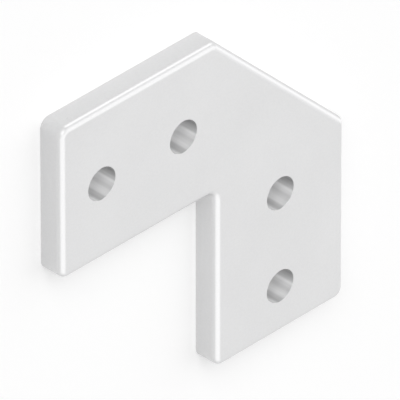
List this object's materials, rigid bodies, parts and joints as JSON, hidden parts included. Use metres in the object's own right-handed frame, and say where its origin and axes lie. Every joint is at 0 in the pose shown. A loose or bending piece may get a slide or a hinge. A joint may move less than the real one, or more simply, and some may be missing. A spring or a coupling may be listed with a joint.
{
  "type": "flat corner plate",
  "caption": "Flat metal corner plate with two arms at right angles, a straight cut across the outer corner, rounded front edges and screw holes, for joining frame members.",
  "frame": {"origin": "where the two rows of screw holes cross, on the flat back face that bears on the frame", "axes": "+X and +Y along the two arms, +Z out of the front face, so the plate lies on its back"},
  "size_m": [0.07, 0.07, 0.005],
  "materials": {
    "plate_metal": "satin"
  },
  "bodies": {
    "root": {"corner_plate": "plate_metal"}
  },
  "joints": []
}
